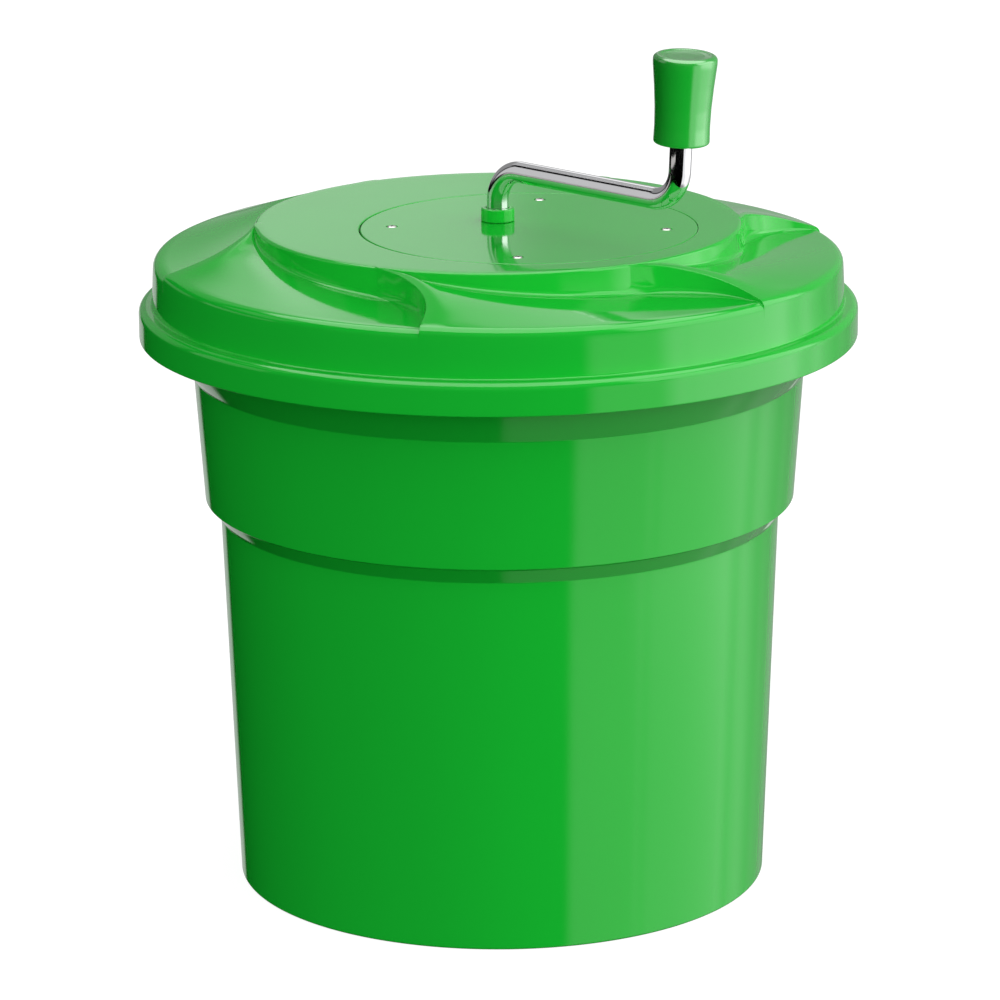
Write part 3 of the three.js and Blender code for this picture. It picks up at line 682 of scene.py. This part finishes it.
def lean(piece):
    """Carries a piece built upright, with heights from the rod's corner, onto the grip's axis."""
    turn = Vector((0, 0, 1)).rotation_difference(GRIP_WAY).to_matrix().to_4x4()
    piece.data.transform(Matrix.Translation(ARM_END * MM) @ turn)
    return piece


def make_grip():
    low, top = GRIP_FOOT, GRIP_TOP
    corners = [
        (GRIP_BORE_R, low, 0.5), (16.3, low, 1.6), (16.05, low + 10, 40), (16.35, low + 21, 40),
        (17.3, low + 34, 60), (18.6, low + 47, 20), (18.5, top - 1.6, 2.4), (15.8, top + 0.5, 3.4),
        (13.6, top - 0.5, 2.4), (GRIP_WELL_R, top - 0.85, 0.1), (GRIP_WELL_R, GRIP_SEAT, 0.3),
        (GRIP_BORE_R, GRIP_SEAT, 0.3),
    ]
    body = lean(lathe("grip_body", corners, 128))
    place(body, "grip", knob_green, "knob_green", ["knob"], 50)
    rim = GRIP_WELL_R - 0.04
    corners = [
        (0, top - 5.9), (10.2, top - 5.9, 0.3), (rim, top - 5, 0.2), (rim, top - 0.85, 0.1),
        (8, top - 1.15, 5), (0, top - 1.3),
    ]
    cap = lean(lathe("grip_cap", corners, 128, closed=False))
    place(cap, "grip", knob_green, "knob_green", ["knob_cap"], 50)


# ---- basket and drive plate ----------------------------------------------------------------
def basket_wall(z):
    return BASKET_R + BASKET_DRAFT * (z - BASKET_FLOOR_Z)


def make_basket():
    rim, lip = mm(basket_high.z), BASKET_RIM_UNDER_Z
    floor_z, floor_top = BASKET_FLOOR_Z, BASKET_FLOOR_Z + 3
    socket_r, socket_low, socket_top, hub_top = 10.3, 26.8, 64, 72  # the hub and its pivot socket
    corners = [
        (0, socket_top), (socket_r, socket_top, 0.5), (socket_r, socket_low, 0.4), (14, socket_low, 0.6),
        (14, floor_z, 1), (BASKET_R, floor_z, 5), (basket_wall(lip), lip, 1.5), (BASKET_RIM_R, lip, 0.8),
        (BASKET_RIM_R, rim, 1.2), (basket_wall(rim) - BASKET_WALL, rim, 1.0),
        (basket_wall(floor_top) - BASKET_WALL, floor_top, 6), (22, floor_top, 5), (16, hub_top, 2.5),
        (0, hub_top),
    ]
    basket = lathe("basket_body", corners, 180, closed=False)
    cutter = bmesh.new()
    for i in range(BASKET_SLOTS):
        turn = TAU * i / BASKET_SLOTS
        for z0, z1 in SLOT_ROWS:
            add_rounded_slot(cutter, SLOT_WIDTH, z0, z1, turn + SLOT_AZIMUTH)
        add_block(cutter, (72, 6, 7), (92, 0, 31.5), 2.6, turn)
    for i in range(NOTCHES):
        add_block(cutter, (19, 16, 11), (158.5, 0, 341.5), 0, TAU * i / NOTCHES + NOTCH_AZIMUTH)
    cut(basket, cutter)
    soften(basket, 0.45)
    place(basket, "basket", basket_white, "basket_white", ["basket"])


def add_rounded_slot(bm, width, z0, z1, turn):
    """A radial bar with half-round ends, to cut an upright slot through the wall."""
    half, steps = width / 2, 8
    section = [(half * math.cos(math.pi * i / steps), z1 - half + half * math.sin(math.pi * i / steps))
               for i in range(steps + 1)]
    section += [(-y, z0 + z1 - z) for y, z in section]
    rotate = Matrix.Rotation(turn, 3, "Z")
    rings = [[bm.verts.new(rotate @ Vector((r, y, z)) * MM) for y, z in section] for r in (138, 168)]
    skin_rings(bm, rings, closed=False)
    for ring in rings:
        bm.faces.new(ring)


def make_drive_plate():
    low, top = PLATE_Z, PLATE_Z + PLATE_T
    corners = [
        (11, low, 0.3), (PLATE_R, low, 0.8), (PLATE_R, top, 0.8), (PLATE_HUB_R, top, 1.5),
        (PLATE_HUB_R, PLATE_HUB_Z, 0.8), (6.8, PLATE_HUB_Z, 0.4), (6.8, low + 2, 0.2), (11, low + 2, 0.2),
    ]
    plate = lathe("drive_disc", corners, 180)
    cutter = bmesh.new()
    below, above = low - 5, low + 8
    window = [Vector(p) for p in ((0, below), (WINDOW_R, below), (WINDOW_R, above), (0, above))]
    for i in range(NOTCHES):
        a = TAU * i / NOTCHES + WINDOW_AZIMUTH
        add_lathe(cutter, window, 64, (WINDOW_PITCH_R * math.cos(a), WINDOW_PITCH_R * math.sin(a)), False)
    cut(plate, cutter)
    soften(plate, 0.5)
    place(plate, "drive", basket_white, "basket_white", ["drive_plate"])
    ribs = bmesh.new()
    for i in range(NOTCHES):
        turn = TAU * i / NOTCHES + NOTCH_AZIMUTH
        add_block(ribs, (128, 2.5, 11), (76, 0, low - 4.5), 0.5, turn)
        add_block(ribs, (13.5, 14, 9.5), (156.75, 0, low - 3.75), 0.8, turn)
    place(mesh_object("drive_ribs", ribs), "drive", basket_white, "basket_white")


def finish_cad_nodes():
    """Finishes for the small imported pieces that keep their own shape."""
    finishes = {"steel": steel, "acetal_white": acetal, "nylon_grey": nylon, "seal_rubber": rubber}
    slots = {entry["node"]: entry["material_slot"] for entry in frame["record"]["subparts"]}
    for name, node in frame["nodes"].items():
        if not node.hide_render and slots[name] in finishes:
            node.data.materials.clear()
            node.data.materials.append(finishes[slots[name]])


# ---- floor, studio and camera --------------------------------------------------------------
def make_floor():
    """A plain white floor that lights nothing and isn't mirrored: the sky and panels do both."""
    bm = bmesh.new()
    bmesh.ops.create_circle(bm, cap_ends=True, segments=96, radius=FLOOR_RADIUS)
    floor = mesh_object("studio_floor", bm)
    n = Nodes("floor_white")
    n.set(Base_Color=(0.25, 0.25, 0.25, 1), Roughness=1.0, Specular_IOR_Level=0.0)
    n.set(Emission_Color=(1, 1, 1, 1), Emission_Strength=FLOOR_GLOW)
    floor.data.materials.append(n.material)
    floor.visible_glossy = False
    floor.visible_diffuse = False


# What glossy surfaces mirror. Bearings run in degrees from the front (-Y) towards +X and
# elevations from the horizon: bearing from, to, elevation from, to, edge softness, brightness.
PANELS = [
    (29, 62, -42, -3, 3, 1.25),       # tall panel on the right, nearer side
    (62, 112, -42, 0, 5, 1.6),        # its brighter middle
    (55, 108, -18, 3, 4, 1.6),        # brighter still towards the top
    (29, 150, -90, -42, 3, 0.42),     # the floor below it
    (112, 130, -42, 0, 7, 1.15),      # its far side, falling away
    (108, 124, -18, 3, 4, 0.6),
    (130, 148, -42, 0, 7, 0.55),
    (148, 166, -42, -20, 6, 0.42),
    (150, 182, -20, 0, 6, 0.52),
    (-182, -158, -36, -2, 2, 0.75),   # pale backdrop, low left
    (166, 182, -31, -21, 1.2, 0.95),  # pale backdrop, low right
    (-182, -120, 0, 36, 4, 0.36),     # backdrop behind, left half
    (120, 182, 0, 43, 4, 0.52),       # backdrop behind, right half
    (-182, -175, 0, 30, 2, 0.64),     # its brightest part
    (179.9, 182, 0, 30, 0.65, 0.4),
    (-182, -170, 22, 46, 3, 0.8),     # and higher up
    (170, 182, 22, 46, 3, 0.8),
    (-170, -132, 36, 60, 4, 0.6),     # ceiling's near edge, back left
    (-112, -78, -1, 42, 2.5, 0.78),   # dim card on the left
    (45, 120, 3, 45, 5, 3.4),         # window on the right
    (-40, 45, 8, 48, 6, 0.16),        # the room in front
    (-182, 182, 49, 95, 2, 4.0),      # ceiling
]
# What matt surfaces gather: (elevation, brightness), even all round, with a lift towards one bearing.
SKY = [(-90, 0.06), (-8, 0.07), (2, 2.3), (15, 2.2), (30, 1.05), (50, 0.74), (70, 1.15), (90, 1.25)]
SIDE_BEARING = 73
SIDE_LIFT = 0.58
BACKDROP = 1.25  # what the camera sees behind everything: plain white

FLOOR_RADIUS = 14  # metres
FLOOR_GLOW = 0.9
CARD_X = -235  # millimetres, beside the lid
CARD_Y = (-350, 0)
CARD_Z = (395, 424)
CARD_GLOW = 0.55
GRIP_LAMP_WATTS = 98
GRIP_LAMP_BEARING = math.radians(35)
GRIP_LAMP_DISTANCE = 1.6  # metres
GRIP_LAMP_CONE = math.radians(4.0)
CAMERA_DISTANCE = 3.05589  # metres
CAMERA_ELEVATION = math.radians(15.165)
CAMERA_ROLL = math.radians(0.38)
CAMERA_TARGET = Vector((0.0002, 0, 0.23017))
CAMERA_LENS = 181.76  # millimetres, on a 36 mm sensor


class WorldNodes:
    """The world's node tree, with short calls for the sums that the studio is drawn with."""

    def __init__(self):
        world = bpy.data.worlds.new("studio")
        bpy.context.scene.world = world
        world.use_nodes = True
        self.tree = world.node_tree
        self.tree.nodes.clear()
        direction = self.tree.nodes.new("ShaderNodeTexCoord").outputs["Generated"]
        split = self.tree.nodes.new("ShaderNodeSeparateXYZ")
        self.tree.links.new(direction, split.inputs[0])
        x, y, z = split.outputs
        self.bearing = self.math("DEGREES", self.math("ARCTAN2", x, self.math("MULTIPLY", y, -1)))
        self.elevation = self.math("DEGREES", self.math("ARCSINE", z))

    def math(self, operation, *inputs):
        node = self.tree.nodes.new("ShaderNodeMath")
        node.operation = operation
        for socket, value in zip(node.inputs, inputs):
            if isinstance(value, (int, float)):
                socket.default_value = value
            else:
                self.tree.links.new(value, socket)
        return node.outputs[0]

    def ramp(self, value, low, high, start, end, smooth=True):
        node = self.tree.nodes.new("ShaderNodeMapRange")
        node.interpolation_type = "SMOOTHSTEP" if smooth else "LINEAR"
        self.tree.links.new(value, node.inputs["Value"])
        for socket, number in zip(node.inputs[1:5], (low, high, start, end)):
            node.inputs[socket.name].default_value = number
        return node.outputs[0]

    def band(self, value, low, high, soft):
        rise = self.ramp(value, low - soft, low + soft, 0, 1)
        return self.math("MULTIPLY", rise, self.ramp(value, high - soft, high + soft, 1, 0))

    def background(self, brightness):
        node = self.tree.nodes.new("ShaderNodeBackground")
        if isinstance(brightness, (int, float)):
            node.inputs["Strength"].default_value = brightness
        else:
            self.tree.links.new(brightness, node.inputs["Strength"])
        return node.outputs[0]

    def mix(self, factor, first, second):
        node = self.tree.nodes.new("ShaderNodeMixShader")
        for socket, value in zip(node.inputs, (factor, first, second)):
            self.tree.links.new(value, socket)
        return node.outputs[0]


def make_room():
    """A studio drawn in the world: soft light that is stronger from the right, panels for the
    gloss to mirror, and plain white behind."""
    w = WorldNodes()
    mirrored = None
    for b0, b1, e0, e1, soft, light in PANELS:
        panel = w.math("MULTIPLY", w.band(w.bearing, b0, b1, soft), w.band(w.elevation, e0, e1, soft))
        panel = w.math("MULTIPLY", panel, light)
        mirrored = panel if mirrored is None else w.math("ADD", mirrored, panel)
    sky = None
    for (e0, start), (e1, end) in zip(SKY, SKY[1:]):
        step = w.ramp(w.elevation, e0, e1, 0, end - start, smooth=False)
        sky = w.math("ADD", step, SKY[0][1] if sky is None else sky)
    off = w.math("SUBTRACT", w.bearing, SIDE_BEARING)
    side = w.math("COSINE", w.math("RADIANS", off))
    sky = w.math("MULTIPLY", sky, w.math("MULTIPLY_ADD", side, SIDE_LIFT, 1.0))
    path = w.tree.nodes.new("ShaderNodeLightPath")
    lit = w.mix(path.outputs["Is Glossy Ray"], w.background(sky), w.background(mirrored))
    seen = w.mix(path.outputs["Is Camera Ray"], lit, w.background(BACKDROP))
    output = w.tree.nodes.new("ShaderNodeOutputWorld")
    w.tree.links.new(seen, output.inputs["Surface"])


def light_only(source, names):
    """Lets a lamp or a card light only the named pieces."""
    receivers = bpy.data.collections.new(source.name + "_receivers")
    for name in names:
        receivers.objects.link(bpy.data.objects[name])
    source.light_linking.receiver_collection = receivers


def make_grip_lamp():
    """A narrow soft lamp from the front right that picks out the grip."""
    data = bpy.data.lights.new("grip_lamp", "SPOT")
    data.energy = GRIP_LAMP_WATTS
    data.spot_size = GRIP_LAMP_CONE
    data.spot_blend = 0.4
    data.shadow_soft_size = 0.025
    lamp = bpy.data.objects.new("grip_lamp", data)
    target = (ARM_END + GRIP_WAY * (GRIP_FOOT + GRIP_TOP) / 2) * MM
    way = Vector((math.sin(GRIP_LAMP_BEARING), -math.cos(GRIP_LAMP_BEARING), 0.07)).normalized()
    lamp.location = target + way * GRIP_LAMP_DISTANCE
    lamp.rotation_euler = way.to_track_quat("Z", "Y").to_euler()
    lamp.visible_glossy = False
    light_only(lamp, ["grip_body", "grip_cap"])
    bpy.context.scene.collection.objects.link(lamp)


def make_card():
    """A pale card beside the lid that only the polished crank mirrors."""
    bm = bmesh.new()
    (near, far), (low, high) = CARD_Y, CARD_Z
    corners = [(CARD_X, y, z) for y, z in ((near, low), (far, low), (far, high), (near, high))]
    bm.faces.new([bm.verts.new(Vector(corner) * MM) for corner in corners])
    card = mesh_object("studio_card", bm)
    n = Nodes("card_pale")
    n.set(Base_Color=(0, 0, 0, 1), Roughness=1.0, Specular_IOR_Level=0.0)
    n.set(Emission_Color=(1, 0.97, 0.93, 1), Emission_Strength=CARD_GLOW)
    card.data.materials.append(n.material)
    card.visible_camera = False
    card.visible_diffuse = False
    card.visible_shadow = False
    light_only(card, ["crank_bar"])


def make_camera():
    data = bpy.data.cameras.new("camera")
    data.lens = CAMERA_LENS
    data.sensor_width = 36
    data.clip_end = 60
    camera = bpy.data.objects.new("camera", data)
    forward = Vector((0, math.cos(CAMERA_ELEVATION), -math.sin(CAMERA_ELEVATION)))
    right = Vector((1, 0, 0))
    up = right.cross(forward)
    c, s = math.cos(CAMERA_ROLL), math.sin(CAMERA_ROLL)
    axes = Matrix((right * c - up * s, right * s + up * c, -forward)).transposed()
    camera.matrix_world = Matrix.Translation(CAMERA_TARGET - forward * CAMERA_DISTANCE) @ axes.to_4x4()
    bpy.context.scene.collection.objects.link(camera)
    bpy.context.scene.camera = camera


make_tub()
make_lid()
make_bosses()
make_cover()
make_cover_screws()
make_collar()
make_rod()
make_grip()
make_basket()
make_drive_plate()
finish_cad_nodes()
make_floor()
make_room()
make_card()
make_grip_lamp()
make_camera()
bpy.context.scene.view_settings.view_transform = "Standard"
